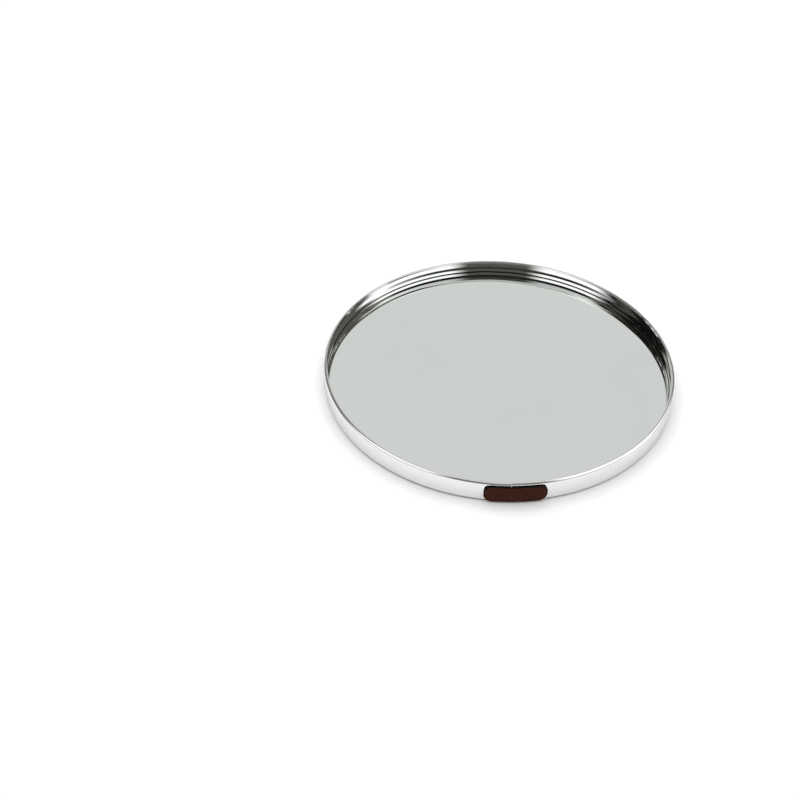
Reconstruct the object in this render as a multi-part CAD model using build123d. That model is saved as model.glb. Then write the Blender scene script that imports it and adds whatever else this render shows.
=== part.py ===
from build123d import *
import os
from math import degrees

# Round candle plate: a rolled metal rim holds a mirror on a board, with a tag over the rim's seam.
# Millimetres. The origin is the centre of the resting plane, +Z is up and the tag faces -Y.

# Rim: one profile bar rolled into a ring, section sizes from the outside in and from the bottom up
rim_diameter = 250.0
wall_thickness = 1.7
slot_depth = 0.8
rib_proud = 0.65
lip_proud = 0.9
flange_width = 6.0
bottom_edge_chamfer = 0.6
flange_thickness = 1.3
rib_height = 2.7
rib_shoulder = 2.4
upper_band = 2.8
lip_height = 2.25
lip_outer_round = 1.8
lip_inner_chamfer = 0.45
lip_under_chamfer = 0.7

# Seam where the two ends of the rolled bar meet, and how far it lies from the middle of the tag
seam_gap = 0.3
seam_offset = -3.0

# Splice strip that bridges the seam inside the slot
strip_length = 60.0
strip_thickness = 0.4
strip_clearance = 0.05

# Mirror glass on its board, held in the slot of the rim
glass_thickness = 2.0
board_thickness = 2.0
seat_clearance = 0.15
edge_clearance = 0.2
glass_edge_chamfer = 0.3

# Tag and the film that glues it to the rim
tag_width = 40.4
tag_thickness = 0.9
tag_corner_radius = 5.4
tag_corner_limit = 0.48
tag_edge_chamfer = 0.25
tag_top_margin = 0.1
tag_bottom_margin = 0.1
film_thickness = 0.15
film_inset = 1.2
film_clearance = 0.2

# Felt feet under the board
foot_count = 4
foot_diameter = 18.0
foot_proud = 0.6
foot_inset = 14.0

# Discs stand on their lower face
ON_BASE = (Align.CENTER, Align.CENTER, Align.MIN)

# Radii that follow from the sizes above
rim_radius = rim_diameter / 2
band_inner = rim_radius - wall_thickness
lip_inner = band_inner - lip_proud
rib_inner = band_inner - rib_proud
slot_radius = band_inner + slot_depth
flange_inner = rim_radius - flange_width
strip_outer = slot_radius - strip_clearance
strip_inner = strip_outer - strip_thickness
plate_radius = strip_inner - edge_clearance
film_inner = rim_radius + film_clearance
film_outer = film_inner + film_thickness
tag_inner = film_outer + film_clearance
tag_outer = tag_inner + tag_thickness

# Heights that follow from the sizes above
rim_bottom = foot_proud
flange_top = rim_bottom + flange_thickness
board_top = flange_top + board_thickness
glass_top = board_top + glass_thickness
slot_top = glass_top + seat_clearance
rib_top = slot_top + rib_height
shoulder_top = rib_top + rib_shoulder
lip_bottom = shoulder_top + upper_band
lip_top = lip_bottom + lip_height
tag_bottom = rim_bottom + bottom_edge_chamfer + tag_bottom_margin
tag_top = lip_top - lip_outer_round - tag_top_margin


def sector(inner, outer, bottom, top, arc_length, middle=0.0):
    """Upright ring segment in front of the axis, its arc measured on the outer face."""
    arc = degrees(arc_length / outer)
    centre = Pos((inner + outer) / 2, (bottom + top) / 2)
    section = Plane.XZ * centre * Rectangle(outer - inner, top - bottom)
    segment = revolve(section, Axis.Z, arc)
    return Rot(Z=-90 - arc / 2 + middle) * segment


def rounded_sector(inner, outer, bottom, top, width, corner):
    """Ring segment trimmed to a rounded rectangle as seen from the front."""
    height = top - bottom
    corner = min(corner, tag_corner_limit * height)
    shell = sector(inner, outer, bottom, top, 2 * width)
    outline = Plane.XZ * Pos(0, (bottom + top) / 2) * RectangleRounded(width, height, corner)
    return shell & extrude(outline, outer + inner)


def make_rim():
    """Rolled bar with a rounded lip, a rib over the glass, a slot and a bottom flange, open at the seam."""
    sharp = 0
    corners = [
        ((rim_radius - bottom_edge_chamfer, rim_bottom), sharp),
        ((rim_radius, rim_bottom + bottom_edge_chamfer), sharp),
        ((rim_radius, lip_top), lip_outer_round),
        ((lip_inner + lip_inner_chamfer, lip_top), sharp),
        ((lip_inner, lip_top - lip_inner_chamfer), sharp),
        ((lip_inner, lip_bottom + lip_under_chamfer), sharp),
        ((lip_inner + lip_under_chamfer, lip_bottom), sharp),
        ((band_inner, lip_bottom), sharp),
        ((band_inner, shoulder_top), sharp),
        ((rib_inner, rib_top), sharp),
        ((rib_inner, slot_top), sharp),
        ((slot_radius, slot_top), sharp),
        ((slot_radius, flange_top), sharp),
        ((flange_inner, flange_top), sharp),
        ((flange_inner, rim_bottom), sharp),
    ]
    points = [point for point, _ in corners]
    radii = [radius for _, radius in corners]
    section = make_face(Plane.XZ * FilletPolyline(*points, radius=radii, close=True))
    gap = degrees(seam_gap / rim_radius)
    ring = revolve(section, Axis.Z, 360 - gap)
    return Rot(Z=-90 + gap / 2 + degrees(seam_offset / rim_radius)) * ring


def make_joint_strip():
    """Thin strip behind the seam, standing in the slot beside the glass and the board."""
    bottom = flange_top + strip_clearance
    top = slot_top - strip_clearance
    return sector(strip_inner, strip_outer, bottom, top, strip_length, degrees(seam_offset / rim_radius))


def make_mirror_plate():
    """Glass disc with a ground edge."""
    disc = Pos(0, 0, board_top) * Cylinder(plate_radius, glass_thickness, align=ON_BASE)
    return chamfer(disc.edges().filter_by(GeomType.CIRCLE), glass_edge_chamfer)


def make_base_board():
    """Board under the glass, resting on the bottom flange."""
    return Pos(0, 0, flange_top) * Cylinder(plate_radius, board_thickness, align=ON_BASE)


def make_tag():
    """Curved plate with rounded corners and softened front edges."""
    plate = rounded_sector(tag_inner, tag_outer, tag_bottom, tag_top, tag_width, tag_corner_radius)
    front = plate.faces().sort_by(Axis.Y)[0]
    return chamfer(front.edges(), tag_edge_chamfer)


def make_tag_film():
    """Glue film, smaller than the tag all round so that it stays hidden."""
    return rounded_sector(
        film_inner,
        film_outer,
        tag_bottom + film_inset,
        tag_top - film_inset,
        tag_width - 2 * film_inset,
        tag_corner_radius - film_inset,
    )


def make_foot():
    """Felt disc cut from sheet, under the board and standing a little below the rim."""
    return Cylinder(foot_diameter / 2, flange_top, align=ON_BASE)


parts = {
    "rim": make_rim(),
    "joint_strip": make_joint_strip(),
    "mirror_plate": make_mirror_plate(),
    "base_board": make_base_board(),
    "tag": make_tag(),
    "tag_film": make_tag_film(),
}
foot_circle = flange_inner - foot_inset
for index in range(foot_count):
    turn = Rot(Z=360 / foot_count * (index + 0.5))
    parts[f"felt_foot_{index + 1}"] = turn * Pos(foot_circle, 0, 0) * make_foot()

os.makedirs("parts", exist_ok=True)
for name, shape in parts.items():
    export_step(shape, f"parts/{name}.step")
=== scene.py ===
from math import radians

import bpy
import numpy as np
from mathutils import Matrix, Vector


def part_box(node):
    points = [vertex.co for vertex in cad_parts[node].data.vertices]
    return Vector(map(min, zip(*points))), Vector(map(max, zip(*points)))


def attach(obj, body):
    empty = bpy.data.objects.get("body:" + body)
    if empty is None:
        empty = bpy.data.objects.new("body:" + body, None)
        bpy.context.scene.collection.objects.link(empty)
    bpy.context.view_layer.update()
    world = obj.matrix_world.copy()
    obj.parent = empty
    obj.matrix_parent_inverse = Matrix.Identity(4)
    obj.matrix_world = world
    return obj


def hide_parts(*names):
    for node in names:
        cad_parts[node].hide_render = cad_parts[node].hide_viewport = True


# Round candle plate: a polished rolled rim holds a mirror on a board, a leather tag covers the rim's seam.
# Metres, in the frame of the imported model: +Z is up, the tag faces -Y and the felt feet stand on z = 0.

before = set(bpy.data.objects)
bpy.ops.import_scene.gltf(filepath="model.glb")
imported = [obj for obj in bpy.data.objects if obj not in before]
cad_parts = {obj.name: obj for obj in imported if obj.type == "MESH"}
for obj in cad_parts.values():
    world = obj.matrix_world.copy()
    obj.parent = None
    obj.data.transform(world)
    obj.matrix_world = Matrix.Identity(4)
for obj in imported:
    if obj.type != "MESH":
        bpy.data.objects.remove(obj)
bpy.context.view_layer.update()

MM = 0.001

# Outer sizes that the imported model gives
rim_low, rim_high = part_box("rim")
plate_low, plate_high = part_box("mirror_plate")
board_low, board_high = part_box("base_board")
tag_low, tag_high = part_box("tag")
rim_radius = rim_high.x
rim_bottom = rim_low.z
lip_top = rim_high.z
glass_top = plate_high.z
tag_outer = -tag_low.y

# Rim section, from the outside in and from the bottom up
wall_thickness = 1.7 * MM
slot_depth = 0.8 * MM
rib_proud = 0.74 * MM
lip_proud = 1.15 * MM
flange_width = 6.0 * MM
bottom_bevel_in, bottom_bevel_up = 2.6 * MM, 0.8 * MM
seat_clearance = 0.15 * MM
rib_height = 2.7 * MM
rib_shoulder = 2.4 * MM
band_lean = 0.15 * MM
lip_height = 2.25 * MM
lip_crest = 2.2 * MM
lip_under = 0.75 * MM
flange_top = board_low.z

# Softened corners of the rim section
bottom_round = 0.15 * MM
lip_outer_round = 1.8 * MM
lip_top_round = 0.62 * MM
lip_under_round = 0.15 * MM
band_round = 0.12 * MM
shoulder_round = 3.0 * MM
rib_foot_round = 0.8 * MM
slot_round = 0.1 * MM
flange_round = 0.25 * MM
corner_hold = 0.01 * MM

# Points on a softened corner, steps round the rim, and the angle in degrees from which an edge stays sharp
arc_points = 10
rim_segments = 640
sharp_angle = 40.0

# Height down to which the rim is polished, and half the width of the change to its rough underside, whose
# dark colour is painted shade of the gap under the rim
polish_start = 1.2 * MM
polish_fade = 0.1 * MM

# Seam of the rim: its place, its gap, how far the top of the left end sinks and over what length
seam_offset = -3.0 * MM
seam_gap = 0.3 * MM
seam_drop = 0.5 * MM
seam_drop_length = 36.0 * MM

# Mirror and board: their edges, and the width of the dark ring painted along the edge of the glass as shade
# of the gap under the rim's rib
disc_segments = 360
glass_round = 0.3 * MM
shade_ring_width = 1.3 * MM
shade_ring_fade = 0.15 * MM
board_round = 0.25 * MM

# Tag: rounded rectangle bent round the rim
tag_thickness = 0.9 * MM
tag_corner = 5.4 * MM
tag_back_round = 0.12 * MM
tag_front_round = 0.34 * MM
tag_crown = 0.08 * MM
tag_arc_points = 14
tag_run_points = 48
tag_edge_points = 7
tag_shrink_steps = 18

# Felt feet: their edge wavers in waves, with a range for their number in a turn and for their height
foot_count = 4
foot_segments = 120
foot_round = 0.3 * MM
foot_waver = 0.09 * MM
foot_waves = (3, 22)
foot_wave_heights = (0.2, 1.0)
foot_seed = 5

# Camera, measured from the axis of the plate and from the top of the lip, with its angles in degrees
camera_lens = 40.64
camera_place = (-70.44 * MM, -503.73 * MM, 412.84 * MM)
camera_tilt = 42.05
camera_roll = -0.64
camera_turn = -0.465

# Floor and lamp
floor_size = 8.0
floor_drop = 0.05 * MM
lamp_power = 2.0
lamp_size = 1.2
lamp_place = (-0.25, 0.75, 1.25)

# Light on matt surfaces: it rises from nothing to its full level between two elevations in degrees
fill_level = 2.1
fill_start, fill_full = 24.0, 62.0

# What the camera sees behind the plate, with 1 as white
backdrop_level = 1.0

# What mirrors show: the level between the cards, and the limits that hold where a ray met one mirror only
base_level = 0.70
lowest_shown, highest_shown = 0.22, 0.85

# Levels between which the light goes from warm to white
warm_level, white_level = 0.05, 0.5

# Cards, each laid over the ones before it: azimuths and elevations in degrees with a softness, and a level
cards = {
    "upper left": ((-156, -92, 12), (60, 76, 8), 1.3),
    "upper right": ((92, 152, 12), (60, 76, 8), 1.3),
    "dark left": ((-140, -84, 5), (-10, 59, 6), 0.006),
    "rear left": ((-164, -136, 5), (25, 57, 6), 0.012),
    "left edge": ((-104, -84, 5), (-10, 50, 6), 0.07),
    "dark right": ((98, 152, 4), (-10, 57, 7), 0.12),
    "front": ((-90, 100, 6), (-10, 68, 6), 0.010),
    "dark front": ((-40, 36, 12), (8, 40, 8), 0.11),
    "low right": ((72, 93, 5), (-10, 25, 6), 1.3),
    "right horizon": ((104, 138, 5), (-10, 13, 6), 0.03),
}

# Softboxes: left and right side in degrees and their fade, bottom and top of the light, each with its fade,
# radius and height of the foot and of the head of the screen, and how many mirrors in a row still show it
softbox_level = 1.45
softbox_steps = 49
softboxes = {
    "left_softbox": {
        "sides": (-98.0, -24.0, 9.0),
        "heights": (0.11, 0.04, 0.38, 0.07),
        "foot": (0.42, 0.0),
        "head": (0.31, 0.45),
        "mirrors": 9,
    },
    "right_softbox": {
        "sides": (19.0, 117.0, 9.0),
        "heights": (0.11, 0.04, 0.38, 0.07),
        "foot": (0.42, 0.0),
        "head": (0.31, 0.45),
        "mirrors": 9,
    },
    "lip_softbox": {
        "sides": (26.0, 112.0, 8.0),
        "heights": (0.165, 0.015, 0.31, 0.02),
        "foot": (0.27, 0.15),
        "head": (0.14, 0.335),
        "mirrors": 1,
    },
}


# Shapes

def rounded_section(corners, points_each):
    """Outline whose corners are arcs that touch both sides, with one more point on each side to hold it.

    For a corner with unit vectors to its two neighbours, half the angle between them is h. The arc touches
    each side radius / tan(h) from the corner, and its centre lies radius / sin(h) along the bisector. The
    arc's points are the centre plus the radius turned evenly from one touching point to the other.
    """
    corners = np.asarray(corners, float)
    place, radius = corners[:, :2], corners[:, 2:]
    to_last = np.roll(place, 1, axis=0) - place
    to_next = np.roll(place, -1, axis=0) - place
    to_last /= np.linalg.norm(to_last, axis=1, keepdims=True)
    to_next /= np.linalg.norm(to_next, axis=1, keepdims=True)
    half = np.arccos(np.clip((to_last * to_next).sum(1, keepdims=True), -1, 1)) / 2
    reach = radius / np.tan(half)
    bisector = to_last + to_next
    bisector /= np.linalg.norm(bisector, axis=1, keepdims=True)
    centre = place + bisector * radius / np.sin(half)
    first = place + to_last * reach
    last = place + to_next * reach
    start = np.arctan2(first[:, 1] - centre[:, 1], first[:, 0] - centre[:, 0])
    end = np.arctan2(last[:, 1] - centre[:, 1], last[:, 0] - centre[:, 0])
    sweep = (end - start + np.pi) % (2 * np.pi) - np.pi
    angle = start[:, None] + sweep[:, None] * np.linspace(0, 1, points_each)
    arcs = centre[:, None] + radius[:, None] * np.stack((np.cos(angle), np.sin(angle)), axis=2)
    before = (first + to_last * corner_hold)[:, None]
    after = (last + to_next * corner_hold)[:, None]
    return np.concatenate((before, arcs, after), axis=1)


def grid_faces(rows, columns, close_rows=False, close_columns=False):
    """Quads between neighbouring rows and columns of a grid of points numbered row by row."""
    row = np.arange(rows if close_rows else rows - 1)[:, None]
    column = np.arange(columns if close_columns else columns - 1)[None]
    next_row = (row + 1) % rows
    next_column = (column + 1) % columns
    corners = (row * columns + column, row * columns + next_column,
               next_row * columns + next_column, next_row * columns + column)
    return np.stack(corners, axis=2).reshape(-1, 4)


def make_mesh(name, points, faces):
    """Mesh with smooth faces, apart from its sharp edges."""
    mesh = bpy.data.meshes.new(name)
    mesh.from_pydata(points.reshape(-1, 3).tolist(), [], faces)
    mesh.shade_smooth()
    mesh.set_sharp_from_angle(angle=radians(sharp_angle))
    return mesh


def around(radius, angle, height):
    """Points at a radius and height, turned by an angle from -Y towards +X."""
    across, along = radius * np.sin(angle), -radius * np.cos(angle)
    return np.stack(np.broadcast_arrays(across, along, height), axis=-1)


def rim_mesh():
    """Rim section carried round the axis from one side of the seam to the other, with both ends capped.

    Near the left end of the bar the top sinks by the seam's drop times a smooth step, and the bottom stays,
    so that the two ends don't quite line up.
    """
    band_inner = rim_radius - wall_thickness
    lip_inner = band_inner - lip_proud
    lip_bottom = lip_top - lip_height
    rib_inner = band_inner - rib_proud
    slot_radius = band_inner + slot_depth
    slot_top = glass_top + seat_clearance
    rib_top = slot_top + rib_height
    shoulder_top = rib_top + rib_shoulder
    flange_inner = rim_radius - flange_width
    corners = (
        (rim_radius - bottom_bevel_in, rim_bottom, bottom_round),
        (rim_radius, rim_bottom + bottom_bevel_up, bottom_round),
        (rim_radius, lip_top, lip_outer_round),
        (rim_radius - lip_crest, lip_top, lip_top_round),
        (lip_inner, lip_bottom + lip_under, lip_under_round),
        (band_inner, lip_bottom, band_round),
        (band_inner - band_lean, shoulder_top, shoulder_round),
        (rib_inner, rib_top, shoulder_round),
        (rib_inner, slot_top, rib_foot_round),
        (slot_radius, slot_top, slot_round),
        (slot_radius, flange_top, slot_round),
        (flange_inner, flange_top, flange_round),
        (flange_inner, rim_bottom, flange_round),
    )
    section = rounded_section(corners, arc_points).reshape(-1, 2)
    count = len(section)
    half_gap = seam_gap / rim_radius / 2
    seam = seam_offset / rim_radius
    turn = np.linspace(half_gap, 2 * np.pi - half_gap, rim_segments + 1)
    away = np.clip((turn[-1] - turn) * rim_radius / seam_drop_length, 0, 1)
    drop = seam_drop * (1 - away**2 * (3 - 2 * away))
    height = section[:, 1:]
    share = (height - rim_bottom) / (lip_top - rim_bottom)
    points = around(section[:, :1], turn + seam, height - drop * share)
    faces = grid_faces(count, rim_segments + 1, close_rows=True).tolist()
    first_end = np.arange(count) * (rim_segments + 1)
    last_end = first_end + rim_segments
    faces += [first_end.tolist(), last_end[::-1].tolist()]
    return make_mesh("rim_ring", points, faces)


def disc_mesh(name, radius, bottom, top, rounding, segments, centre=(0.0, 0.0), waver=0.0):
    """Disc turned from a profile that starts in the middle of its top and ends in the middle of its bottom.

    The profile's two corners are arcs. The two middles are single points, joined to the first and last ring
    by fans. The waver, one value for each turned step, moves the rings in or out in proportion to their
    radius.
    """
    corners = ((0, bottom, 0), (radius, bottom, rounding), (radius, top, rounding), (0, top, 0))
    section = rounded_section(corners, arc_points)[1:3].reshape(-1, 2)[::-1]
    rings = len(section)
    turn = np.linspace(0, 2 * np.pi, segments, endpoint=False)
    reach = section[:, :1] * (1 + waver / radius)
    points = around(reach, turn, section[:, 1:]).reshape(-1, 3)
    points[:, :2] += centre
    middles = np.array([[*centre, top], [*centre, bottom]])
    faces = grid_faces(rings, segments, close_columns=True)[:, ::-1].tolist()
    here = np.arange(segments)
    after = (here + 1) % segments
    top_middle = np.full(segments, rings * segments)
    last_ring = (rings - 1) * segments
    faces += np.stack((top_middle, here, after), axis=1).tolist()
    faces += np.stack((top_middle + 1, last_ring + after, last_ring + here), axis=1).tolist()
    return make_mesh(name, np.concatenate((points, middles)), faces)


def tag_outline(half_width, half_height, corner):
    """Rounded rectangle about the origin: quarter circles and straight runs, from the lower right on."""
    quarter = np.linspace(0, np.pi / 2, tag_arc_points)
    starts = np.array([-np.pi / 2, 0, np.pi / 2, np.pi])
    middle_x = (half_width - corner) * np.array([1, 1, -1, -1])
    middle_y = (half_height - corner) * np.array([-1, 1, 1, -1])
    angle = starts[:, None] + quarter
    arc_x = middle_x[:, None] + corner * np.cos(angle)
    arc_y = middle_y[:, None] + corner * np.sin(angle)
    arcs = np.stack((arc_x, arc_y), axis=2)
    share = np.linspace(0, 1, tag_run_points)[1:-1, None]
    ends = np.roll(arcs[:, 0], -1, axis=0)
    runs = arcs[:, -1:] * (1 - share) + ends[:, None] * share
    return np.concatenate((arcs, runs), axis=1).reshape(-1, 2)


def tag_mesh():
    """Loops of a rounded rectangle from the middle of the back, round the edge, to the middle of the front.

    A loop has an inset from the outline and a depth above the back. On the two rounded edges, inset and
    depth follow quarter circles. Inside the edges the loops shrink evenly to one point, and the front rises
    to a low crown. The flat loops are then bent round the rim: the distance from the middle becomes the sine
    of an angle, so that the width stays as seen from the front, and depth is added to the radius.
    """
    half_width = (tag_high.x - tag_low.x) / 2
    half_height = (tag_high.z - tag_low.z) / 2
    edge_depth = tag_thickness - tag_crown
    quarter = np.linspace(0, np.pi / 2, tag_edge_points)
    from_sine, from_cosine = 1 - np.sin(quarter), 1 - np.cos(quarter)
    back = np.stack((tag_back_round * from_sine, tag_back_round * from_cosine), axis=1)
    front = np.stack((tag_front_round * from_cosine, edge_depth - tag_front_round * from_sine), axis=1)
    edge = np.concatenate((back, front))
    outline_size = np.array([half_width, half_height, tag_corner])
    loops = [tag_outline(*(outline_size - inset)) for inset in edge[:, 0]]
    shrink = np.linspace(0, 1, tag_shrink_steps)[1:-1]
    back_loops = shrink[:, None, None] * loops[0]
    front_loops = shrink[::-1, None, None] * loops[-1]
    flat = np.concatenate((back_loops, np.stack(loops), front_loops))
    crown = tag_crown * (1 - shrink[::-1] ** 2)
    depth = np.concatenate((np.zeros(len(shrink)), edge[:, 1], edge_depth + crown))
    rows, columns = flat.shape[:2]
    middle_height = (tag_high.z + tag_low.z) / 2
    tag_inner = tag_outer - tag_thickness
    turn = np.arcsin(np.clip(flat[:, :, 0] / tag_outer, -1, 1))
    points = around(tag_inner + depth[:, None], turn, middle_height + flat[:, :, 1]).reshape(-1, 3)
    middles = around(np.array([tag_inner, tag_outer]), np.zeros(2), np.full(2, middle_height))
    faces = grid_faces(rows, columns, close_columns=True).tolist()
    here = np.arange(columns)
    after = (here + 1) % columns
    back_middle = np.full(columns, rows * columns)
    last_loop = (rows - 1) * columns
    faces += np.stack((back_middle, after, here), axis=1).tolist()
    faces += np.stack((back_middle + 1, last_loop + here, last_loop + after), axis=1).tolist()
    mesh = make_mesh("tag_plate", np.concatenate((points, middles)), faces)
    # The edge attribute is 1 on the back and the edges, which the leather paints near black, partly as
    # painted shade
    nearness = np.concatenate((np.ones(len(shrink)), np.ones(len(edge)), np.zeros(len(shrink))))
    values = np.concatenate((np.repeat(nearness, columns), [1.0, 0.0]))
    mesh.attributes.new("edge", "FLOAT", "POINT").data.foreach_set("value", values)
    return mesh


def foot_waver_line(index):
    """Uneven edge of a felt disc: a sum of waves round it, with seeded heights and phases."""
    draw = np.random.default_rng(foot_seed + index)
    turn = np.linspace(0, 2 * np.pi, foot_segments, endpoint=False)
    waves = np.arange(*foot_waves)[:, None]
    height = draw.uniform(*foot_wave_heights, waves.shape) / np.sqrt(len(waves))
    phase = draw.uniform(0, 2 * np.pi, waves.shape)
    line = (height * np.sin(waves * turn + phase)).sum(axis=0)
    return foot_waver * (line / np.abs(line).max() - 1) / 2


# Nodes

def put(tree, kind, links=None, **settings):
    """Adds a node with its settings, and links sockets or sets values on its inputs by name or number."""
    node = tree.nodes.new(kind)
    for name, value in settings.items():
        setattr(node, name, value)
    for key, value in (links or {}).items():
        if isinstance(value, bpy.types.NodeSocket):
            tree.links.new(value, node.inputs[key])
        else:
            node.inputs[key].default_value = value
    return node


def calc(tree, operation, *values):
    """Output of a Math node on the given values or sockets."""
    return put(tree, "ShaderNodeMath", dict(enumerate(values)), operation=operation).outputs[0]


def scaled(tree, value, by):
    """Value times a plain number."""
    return calc(tree, "MULTIPLY", value, by)


def raised(tree, share, base, rise):
    """Base value plus a rise in proportion to the share."""
    return calc(tree, "MULTIPLY_ADD", share, rise, base)


def ramp(tree, value, low, high, bottom=0.0, top=1.0):
    """Smooth step from bottom to top as the value goes from low to high."""
    links = {"Value": value, "From Min": low, "From Max": high, "To Min": bottom, "To Max": top}
    return put(tree, "ShaderNodeMapRange", links, interpolation_type="SMOOTHSTEP").outputs[0]


def mix_value(tree, share, first, second):
    """Blend of two numbers. The node has sockets for each kind of data, so they go by their place."""
    return put(tree, "ShaderNodeMix", {0: share, 2: first, 3: second}, data_type="FLOAT").outputs[0]


def mix_colour(tree, share, first, second):
    """Blend of two colours."""
    links = {0: share, 6: first, 7: second}
    return put(tree, "ShaderNodeMix", links, data_type="RGBA").outputs[2]


def colour(red, green, blue):
    """Opaque linear colour."""
    return (red, green, blue, 1.0)


def axes_of(tree, coordinates):
    """X, Y and Z of one kind of texture coordinates."""
    place = put(tree, "ShaderNodeTexCoord").outputs[coordinates]
    return put(tree, "ShaderNodeSeparateXYZ", {0: place}).outputs


def distance_from_axis(tree, axes):
    """Distance of a place from the axis of the plate."""
    flat = put(tree, "ShaderNodeCombineXYZ", {0: axes[0], 1: axes[1]}).outputs[0]
    return put(tree, "ShaderNodeVectorMath", {0: flat}, operation="LENGTH").outputs["Value"]


def new_group(name, inputs, outputs):
    """Node group with float inputs and their defaults, and float outputs."""
    group = bpy.data.node_groups.new(name, "ShaderNodeTree")
    for label, value in inputs.items():
        socket = group.interface.new_socket(label, in_out="INPUT", socket_type="NodeSocketFloat")
        socket.default_value = value
    for label in outputs:
        group.interface.new_socket(label, in_out="OUTPUT", socket_type="NodeSocketFloat")
    return group, group.nodes.new("NodeGroupInput").outputs, group.nodes.new("NodeGroupOutput")


def use_group(tree, group, **values):
    """Places a node group and returns its outputs."""
    return put(tree, "ShaderNodeGroup", values, node_tree=group).outputs


def polish_lines_group():
    """Fine lines that run round the axis, as polishing and drawing leave them."""
    group, given, out = new_group("polish_lines", {"Fineness": 9000.0, "Breaks": 6.0}, ["Lines"])
    axes = axes_of(group, "Object")
    radius = distance_from_axis(group, axes)
    across = calc(group, "MULTIPLY", radius, given["Fineness"])
    up = calc(group, "MULTIPLY", axes[2], given["Fineness"])
    sine = calc(group, "MULTIPLY", calc(group, "DIVIDE", axes[0], radius), given["Breaks"])
    cosine = calc(group, "MULTIPLY", calc(group, "DIVIDE", axes[1], radius), given["Breaks"])
    vector = put(group, "ShaderNodeCombineXYZ", {0: across, 1: up, 2: sine}).outputs[0]
    settings = {"Vector": vector, "W": cosine, "Scale": 1.0, "Detail": 3.0, "Roughness": 0.6}
    noise = put(group, "ShaderNodeTexNoise", settings, noise_dimensions="4D").outputs[0]
    group.links.new(ramp(group, noise, low=0.3, high=0.7), out.inputs["Lines"])
    return group


def handling_group():
    """Soft smudges from fingers and cloths, and small specks of dust in a few of the cells."""
    smudge_fade = 0.22
    empty_cells = 0.86
    inputs = {"Smudge Scale": 38.0, "Smudge Start": 0.52, "Speck Scale": 900.0, "Speck Size": 0.1}
    group, given, out = new_group("handling", inputs, ["Smudge", "Specks"])
    place = put(group, "ShaderNodeTexCoord").outputs["Object"]
    settings = {"Vector": place, "Scale": given["Smudge Scale"], "Detail": 4.0, "Distortion": 0.8}
    cloud = put(group, "ShaderNodeTexNoise", settings).outputs[0]
    start = given["Smudge Start"]
    smudge = ramp(group, cloud, start, calc(group, "ADD", start, smudge_fade))
    cells = put(group, "ShaderNodeTexVoronoi", {"Vector": place, "Scale": given["Speck Scale"]})
    chosen = put(group, "ShaderNodeSeparateXYZ", {0: cells.outputs["Color"]}).outputs[0]
    dot = ramp(group, cells.outputs["Distance"], low=given["Speck Size"], high=0.0)
    specks = calc(group, "MULTIPLY", dot, calc(group, "GREATER_THAN", chosen, empty_cells))
    group.links.new(smudge, out.inputs["Smudge"])
    group.links.new(specks, out.inputs["Specks"])
    return group


def fibre_group():
    """Matted fibres: noise drawn out along a wandering direction, and a coarser mottle."""
    group, given, out = new_group("fibres", {"Scale": 1500.0, "Mottle Scale": 160.0}, ["Fibres", "Mottle"])
    place = put(group, "ShaderNodeTexCoord").outputs["Object"]
    settings = {"Vector": place, "Scale": given["Scale"], "Detail": 5.0, "Roughness": 0.7, "Distortion": 2.5}
    strands = put(group, "ShaderNodeTexNoise", settings).outputs[0]
    settings = {"Vector": place, "Scale": given["Mottle Scale"], "Detail": 3.0}
    mottle = put(group, "ShaderNodeTexNoise", settings).outputs[0]
    group.links.new(ramp(group, strands, low=0.32, high=0.68), out.inputs["Fibres"])
    group.links.new(ramp(group, mottle, low=0.35, high=0.65), out.inputs["Mottle"])
    return group


polish_lines = polish_lines_group()
handling = handling_group()
fibres = fibre_group()


# Finishes

# Linear colours, and how rough the dull metal and the edge of the leather are
metal_polished = colour(0.85, 0.85, 0.85)
metal_lined = colour(0.82, 0.82, 0.82)
metal_smudged = colour(0.80, 0.80, 0.80)
# Dark colour of the rough underside: painted shade of the gap under the rim
metal_underside_shade = colour(0.20, 0.19, 0.18)
metal_dull_roughness = 0.5
glass_clear = colour(0.862, 0.893, 0.862)
glass_wiped = colour(0.846, 0.876, 0.85)
glass_dusty = colour(0.6, 0.6, 0.58)
# Dark ring at the glass's edge: painted shade of the gap under the rim's rib
glass_edge_shade = colour(0.03, 0.032, 0.03)
leather_dark = colour(0.054, 0.0128, 0.0052)
leather_light = colour(0.068, 0.0190, 0.0090)
# Darker colour in the grain's creases: painted shade
leather_crease_shade = colour(0.030, 0.010, 0.006)
# Near black of the tag's edge and back: partly the burnished edge, partly painted shade along the top
leather_edge_and_shade = colour(0.006, 0.0045, 0.004)
leather_edge_roughness = 0.42
board_dark = colour(0.135, 0.078, 0.042)
board_light = colour(0.255, 0.158, 0.088)
board_mottled = colour(0.16, 0.093, 0.05)
felt_dark = colour(0.028, 0.028, 0.03)
felt_light = colour(0.082, 0.082, 0.084)
felt_mottled = colour(0.05, 0.048, 0.047)
steel_dark = colour(0.50, 0.50, 0.49)
steel_light = colour(0.60, 0.60, 0.59)
film_dark = colour(0.70, 0.70, 0.67)
film_light = colour(0.80, 0.80, 0.77)


def new_finish(name, **plain):
    """Material with one Principled shader, whose plain values are set on its own sockets."""
    material = bpy.data.materials.new(name)
    material.use_nodes = True
    tree = material.node_tree
    tree.nodes.clear()
    values = {key.replace("_", " "): value for key, value in plain.items()}
    shader = put(tree, "ShaderNodeBsdfPrincipled", values)
    put(tree, "ShaderNodeOutputMaterial", {"Surface": shader.outputs[0]})
    return material, tree, shader.inputs


def connect(tree, inputs, **sockets):
    """Links varying values to the shader's inputs."""
    for key, socket in sockets.items():
        tree.links.new(socket, inputs[key.replace("_", " ")])


def relief(tree, height, strength, depth):
    """Normal of a surface with the given relief."""
    links = {"Height": height, "Strength": strength, "Distance": depth}
    return put(tree, "ShaderNodeBump", links).outputs[0]


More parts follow.
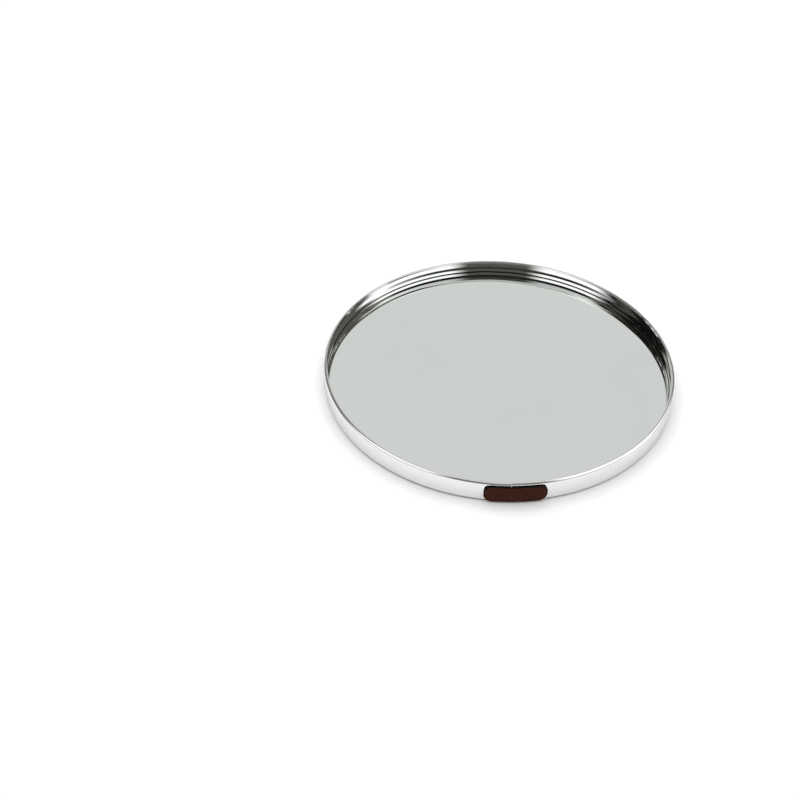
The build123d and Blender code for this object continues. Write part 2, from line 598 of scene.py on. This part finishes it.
def rim_metal():
    """Polished aluminium: nearly a mirror, with faint lines along the bar, smudges and a rough underside,
    darkened as painted shade of the gap under the rim.
    """
    material, tree, shader = new_finish("rim_metal", Metallic=1.0)
    lines = use_group(tree, polish_lines, Fineness=5200.0, Breaks=5.0)["Lines"]
    wear = use_group(tree, handling, **{"Smudge Scale": 46.0, "Smudge Start": 0.55})
    tone = mix_colour(tree, lines, metal_polished, metal_lined)
    tone = mix_colour(tree, scaled(tree, wear["Smudge"], by=0.35), tone, metal_smudged)
    rough = raised(tree, lines, base=0.045, rise=0.02)
    rough = raised(tree, wear["Smudge"], base=rough, rise=0.03)
    height = axes_of(tree, "Object")[2]
    # Below the polish the metal is rougher, and its colour is darkened as painted shade of the gap under the
    # rim
    dull_shaded_underside = ramp(tree, height, polish_start + polish_fade, polish_start - polish_fade)
    tone = mix_colour(tree, dull_shaded_underside, tone, metal_underside_shade)
    rough = mix_value(tree, dull_shaded_underside, rough, metal_dull_roughness)
    normal = relief(tree, lines, strength=0.02, depth=0.01 * MM)
    connect(tree, shader, Base_Color=tone, Roughness=rough, Normal=normal)
    return material


def mirror_glass():
    """Silvered glass: a clear, slightly green mirror with hardly visible wiping marks and dust, and a dark
    ring painted along its edge as shade of the gap under the rim.
    """
    material, tree, shader = new_finish("mirror_glass", Metallic=1.0)
    wear = use_group(tree, handling, **{"Smudge Scale": 17.0, "Smudge Start": 0.5, "Speck Scale": 420.0})
    tone = mix_colour(tree, wear["Smudge"], glass_clear, glass_wiped)
    tone = mix_colour(tree, scaled(tree, wear["Specks"], by=0.25), tone, glass_dusty)
    radius = distance_from_axis(tree, axes_of(tree, "Object"))
    # A dark ring painted along the glass's edge stands in for the shade of the gap under the rim's rib
    shade_ring_edge = plate_high.x - shade_ring_width
    shade_ring = ramp(tree, radius, shade_ring_edge - shade_ring_fade, shade_ring_edge + shade_ring_fade)
    tone = mix_colour(tree, shade_ring, tone, glass_edge_shade)
    rough = raised(tree, wear["Smudge"], base=0.008, rise=0.018)
    rough = raised(tree, wear["Specks"], base=rough, rise=0.3)
    connect(tree, shader, Base_Color=tone, Roughness=rough)
    return material


def tag_leather():
    """Dark brown leather: fine pebbled grain with painted shade in its creases, mottled dye, and a
    burnished, nearly black edge that is partly painted shade along the tag's top.
    """
    material, tree, shader = new_finish("tag_leather", Specular_IOR_Level=0.05)
    place = put(tree, "ShaderNodeTexCoord").outputs["Object"]
    cells = put(tree, "ShaderNodeTexVoronoi", {"Vector": place, "Scale": 1700.0, "Randomness": 0.9})
    crease = ramp(tree, cells.outputs["Distance"], low=0.05, high=0.75)
    wear = use_group(tree, handling, **{"Smudge Scale": 170.0, "Smudge Start": 0.42, "Speck Scale": 1500.0})
    tone = mix_colour(tree, wear["Smudge"], leather_dark, leather_light)
    # The grain's creases are darkened: painted shade
    tone = mix_colour(tree, scaled(tree, crease, by=0.35), tone, leather_crease_shade)
    edge = put(tree, "ShaderNodeAttribute", attribute_name="edge").outputs["Fac"]
    # Near black on the tag's edge and back: partly the burnished edge, partly painted shade along the top
    # and behind the tag
    tone = mix_colour(tree, edge, tone, leather_edge_and_shade)
    rough = raised(tree, crease, base=0.5, rise=0.12)
    rough = mix_value(tree, edge, rough, leather_edge_roughness)
    normal = relief(tree, crease, strength=0.35, depth=-0.06 * MM)
    connect(tree, shader, Base_Color=tone, Roughness=rough, Normal=normal)
    return material


def pressed_board():
    """Brown hardboard: matted fibres, lighter and darker flecks."""
    material, tree, shader = new_finish("board", Specular_IOR_Level=0.3)
    matted = use_group(tree, fibres, Scale=900.0, **{"Mottle Scale": 60.0})
    tone = mix_colour(tree, matted["Fibres"], board_dark, board_light)
    tone = mix_colour(tree, scaled(tree, matted["Mottle"], by=0.4), tone, board_mottled)
    rough = raised(tree, matted["Fibres"], base=0.6, rise=0.2)
    normal = relief(tree, matted["Fibres"], strength=0.4, depth=0.15 * MM)
    connect(tree, shader, Base_Color=tone, Roughness=rough, Normal=normal)
    return material


def pressed_felt():
    """Dark felt: tangled fibres with a soft sheen."""
    sheen = {"Sheen_Weight": 0.35, "Sheen_Roughness": 0.5}
    material, tree, shader = new_finish("felt", Specular_IOR_Level=0.1, **sheen)
    matted = use_group(tree, fibres, Scale=2600.0, **{"Mottle Scale": 420.0})
    tone = mix_colour(tree, matted["Fibres"], felt_dark, felt_light)
    tone = mix_colour(tree, scaled(tree, matted["Mottle"], by=0.3), tone, felt_mottled)
    rough = raised(tree, matted["Fibres"], base=0.88, rise=0.1)
    normal = relief(tree, matted["Fibres"], strength=0.8, depth=0.25 * MM)
    connect(tree, shader, Base_Color=tone, Roughness=rough, Normal=normal)
    return material


def strip_steel():
    """Rolled steel strip with lines along its length."""
    material, tree, shader = new_finish("strip_steel", Metallic=1.0)
    lines = use_group(tree, polish_lines, Fineness=7000.0, Breaks=12.0)["Lines"]
    tone = mix_colour(tree, lines, steel_dark, steel_light)
    rough = raised(tree, lines, base=0.3, rise=0.15)
    normal = relief(tree, lines, strength=0.15, depth=0.02 * MM)
    connect(tree, shader, Base_Color=tone, Roughness=rough, Normal=normal)
    return material


def glue_film():
    """Pale adhesive film, a little cloudy."""
    material, tree, shader = new_finish("glue_film", Specular_IOR_Level=0.4)
    matted = use_group(tree, fibres, Scale=700.0, **{"Mottle Scale": 200.0})
    tone = mix_colour(tree, matted["Mottle"], film_dark, film_light)
    rough = raised(tree, matted["Fibres"], base=0.4, rise=0.2)
    connect(tree, shader, Base_Color=tone, Roughness=rough)
    return material


finishes = {
    "rim_metal": rim_metal(),
    "mirror_glass": mirror_glass(),
    "tag_leather": tag_leather(),
    "board": pressed_board(),
    "felt": pressed_felt(),
    "strip_steel": strip_steel(),
    "glue_film": glue_film(),
}


# Pieces

def add_piece(mesh, node, slot):
    """Shows a mesh in place of a node, with the finish of its slot."""
    piece = bpy.data.objects.new(mesh.name, mesh)
    bpy.context.scene.collection.objects.link(piece)
    mesh.materials.append(finishes[slot])
    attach(piece, "root")
    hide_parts(node)


add_piece(rim_mesh(), "rim", "rim_metal")
plate_size = (plate_high.x, plate_low.z, plate_high.z, glass_round, disc_segments)
add_piece(disc_mesh("mirror_disc", *plate_size), "mirror_plate", "mirror_glass")
board_size = (board_high.x, board_low.z, board_high.z, board_round, disc_segments)
add_piece(disc_mesh("board_disc", *board_size), "base_board", "board")
add_piece(tag_mesh(), "tag", "tag_leather")
for index in range(1, foot_count + 1):
    foot_low, foot_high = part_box(f"felt_foot_{index}")
    foot_radius = (foot_high.x - foot_low.x) / 2
    foot_centre = ((foot_low.x + foot_high.x) / 2, (foot_low.y + foot_high.y) / 2)
    foot_size = (foot_radius, foot_low.z, foot_high.z, foot_round, foot_segments)
    foot = disc_mesh(f"felt_pad_{index}", *foot_size, foot_centre, foot_waver_line(index))
    add_piece(foot, f"felt_foot_{index}", "felt")
for node, slot in (("joint_strip", "strip_steel"), ("tag_film", "glue_film")):
    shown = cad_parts[node].data
    shown.materials.clear()
    shown.materials.append(finishes[slot])


# Floor, studio, lamp and camera

floor_tone = colour(0.88, 0.88, 0.88)
warm_light = colour(1.0, 0.93, 0.85)
white_light = colour(1.0, 1.0, 1.0)


def add_floor():
    """Wide pale square just under the feet, without any gloss."""
    half = floor_size / 2
    corners = ((-half, -half), (half, -half), (half, half), (-half, half))
    points = np.array([(*corner, -floor_drop) for corner in corners])
    mesh = make_mesh("floor", points, [(0, 1, 2, 3)])
    finish = new_finish("floor", Base_Color=floor_tone, Roughness=0.9, Specular_IOR_Level=0.0)
    mesh.materials.append(finish[0])
    floor = bpy.data.objects.new("floor", mesh)
    bpy.context.scene.collection.objects.link(floor)


def window(tree, value, start, end, soft):
    """1 where the value lies between start and end, 0 outside, with soft edges."""
    rise = ramp(tree, value, start - soft, start + soft)
    fall = ramp(tree, value, end - soft, end + soft)
    return calc(tree, "SUBTRACT", rise, fall)


def azimuth_of(tree, axes):
    """Angle round the axis in degrees: 0 in front, positive to the right."""
    return calc(tree, "DEGREES", calc(tree, "ARCTAN2", axes[0], calc(tree, "MULTIPLY", axes[1], -1.0)))


def at_most(tree, met, count):
    """1 for rays that have met no more than so many surfaces of a kind, else 0."""
    return calc(tree, "LESS_THAN", met, count + 0.5)


def add_studio():
    """Surroundings: white to the camera, a fill for matt surfaces, and light and dark cards for the metal.

    A card is a window in azimuth and elevation. Rays that met one mirror only see the cards evened out
    between two limits, so that the plate looks clear from every side. What matt surfaces see by way of the
    metal is the fill, too.
    """
    world = bpy.data.worlds.new("studio")
    bpy.context.scene.world = world
    world.use_nodes = True
    tree = world.node_tree
    tree.nodes.clear()
    axes = axes_of(tree, "Generated")
    azimuth = azimuth_of(tree, axes)
    elevation = calc(tree, "DEGREES", calc(tree, "ARCSINE", axes[2]))
    level = base_level
    for across, up, brightness in cards.values():
        mask = calc(tree, "MULTIPLY", window(tree, azimuth, *across), window(tree, elevation, *up))
        level = mix_value(tree, mask, level, brightness)
    path = put(tree, "ShaderNodeLightPath").outputs
    even = calc(tree, "MINIMUM", calc(tree, "MAXIMUM", level, lowest_shown), highest_shown)
    level = mix_value(tree, at_most(tree, path["Glossy Depth"], 1), level, even)
    mirrored = calc(tree, "MAXIMUM", path["Is Glossy Ray"], path["Is Transmission Ray"])
    mirrored = calc(tree, "MULTIPLY", mirrored, at_most(tree, path["Diffuse Depth"], 0))
    fill = ramp(tree, elevation, fill_start, fill_full, top=fill_level)
    level = mix_value(tree, mirrored, fill, level)
    level = mix_value(tree, path["Is Camera Ray"], level, backdrop_level)
    tint = mix_colour(tree, ramp(tree, level, warm_level, white_level), warm_light, white_light)
    background = put(tree, "ShaderNodeBackground", {"Color": tint, "Strength": level})
    put(tree, "ShaderNodeOutputWorld", {"Surface": background.outputs[0]})


def add_softbox(name, sides, heights, foot, head, mirrors):
    """Bright screen that only mirrors show: part of a cone about the axis, leaning in, with soft edges."""
    material = bpy.data.materials.new(name)
    material.use_nodes = True
    material.cycles.emission_sampling = "NONE"
    tree = material.node_tree
    tree.nodes.clear()
    axes = axes_of(tree, "Object")
    left, right, fade = sides
    low, low_fade, top, top_fade = heights
    mask = window(tree, azimuth_of(tree, axes), left + fade, right - fade, fade)
    mask = calc(tree, "MULTIPLY", mask, ramp(tree, axes[2], low - low_fade, low + low_fade))
    mask = calc(tree, "MULTIPLY", mask, ramp(tree, axes[2], top + top_fade, top - top_fade))
    path = put(tree, "ShaderNodeLightPath").outputs
    mask = calc(tree, "MULTIPLY", mask, at_most(tree, path["Diffuse Depth"], 0))
    mask = calc(tree, "MULTIPLY", mask, at_most(tree, path["Glossy Depth"], mirrors))
    clear = put(tree, "ShaderNodeBsdfTransparent").outputs[0]
    glow = put(tree, "ShaderNodeEmission", {"Strength": softbox_level}).outputs[0]
    shade = put(tree, "ShaderNodeMixShader", {0: mask, 1: clear, 2: glow}).outputs[0]
    put(tree, "ShaderNodeOutputMaterial", {"Surface": shade})
    turn = np.radians(np.linspace(left, right, softbox_steps))
    edges = np.array([foot, head])
    mesh = make_mesh(name, around(edges[:, :1], turn, edges[:, 1:]), grid_faces(2, softbox_steps).tolist())
    mesh.materials.append(material)
    screen = bpy.data.objects.new(name, mesh)
    screen.visible_camera = False
    screen.visible_diffuse = False
    screen.visible_shadow = False
    bpy.context.scene.collection.objects.link(screen)


def add_lamp():
    """Large soft lamp above and behind, which leaves a soft shadow in front."""
    light = bpy.data.lights.new("soft_lamp", "AREA")
    light.size = lamp_size
    light.energy = lamp_power
    lamp = bpy.data.objects.new("soft_lamp", light)
    lamp.location = lamp_place
    lamp.rotation_euler = (-lamp.location).to_track_quat("-Z", "Y").to_euler()
    lamp.visible_glossy = False
    bpy.context.scene.collection.objects.link(lamp)


def add_camera():
    """Camera over the front, tilted down and rolled slightly, turned about the axis to set the tag at -Y."""
    lens = bpy.data.cameras.new("camera")
    lens.lens = camera_lens
    camera = bpy.data.objects.new("camera", lens)
    across, along, up = camera_place
    place = Matrix.Translation((across, along, up + lip_top))
    tilt = Matrix.Rotation(radians(90 - camera_tilt), 4, "X")
    roll = Matrix.Rotation(radians(camera_roll), 4, "Z")
    camera.matrix_world = Matrix.Rotation(radians(camera_turn), 4, "Z") @ place @ tilt @ roll
    bpy.context.scene.collection.objects.link(camera)
    bpy.context.scene.camera = camera


add_floor()
add_studio()
for name, build in softboxes.items():
    add_softbox(name, **build)
add_lamp()
add_camera()
bpy.context.scene.view_settings.view_transform = "Standard"
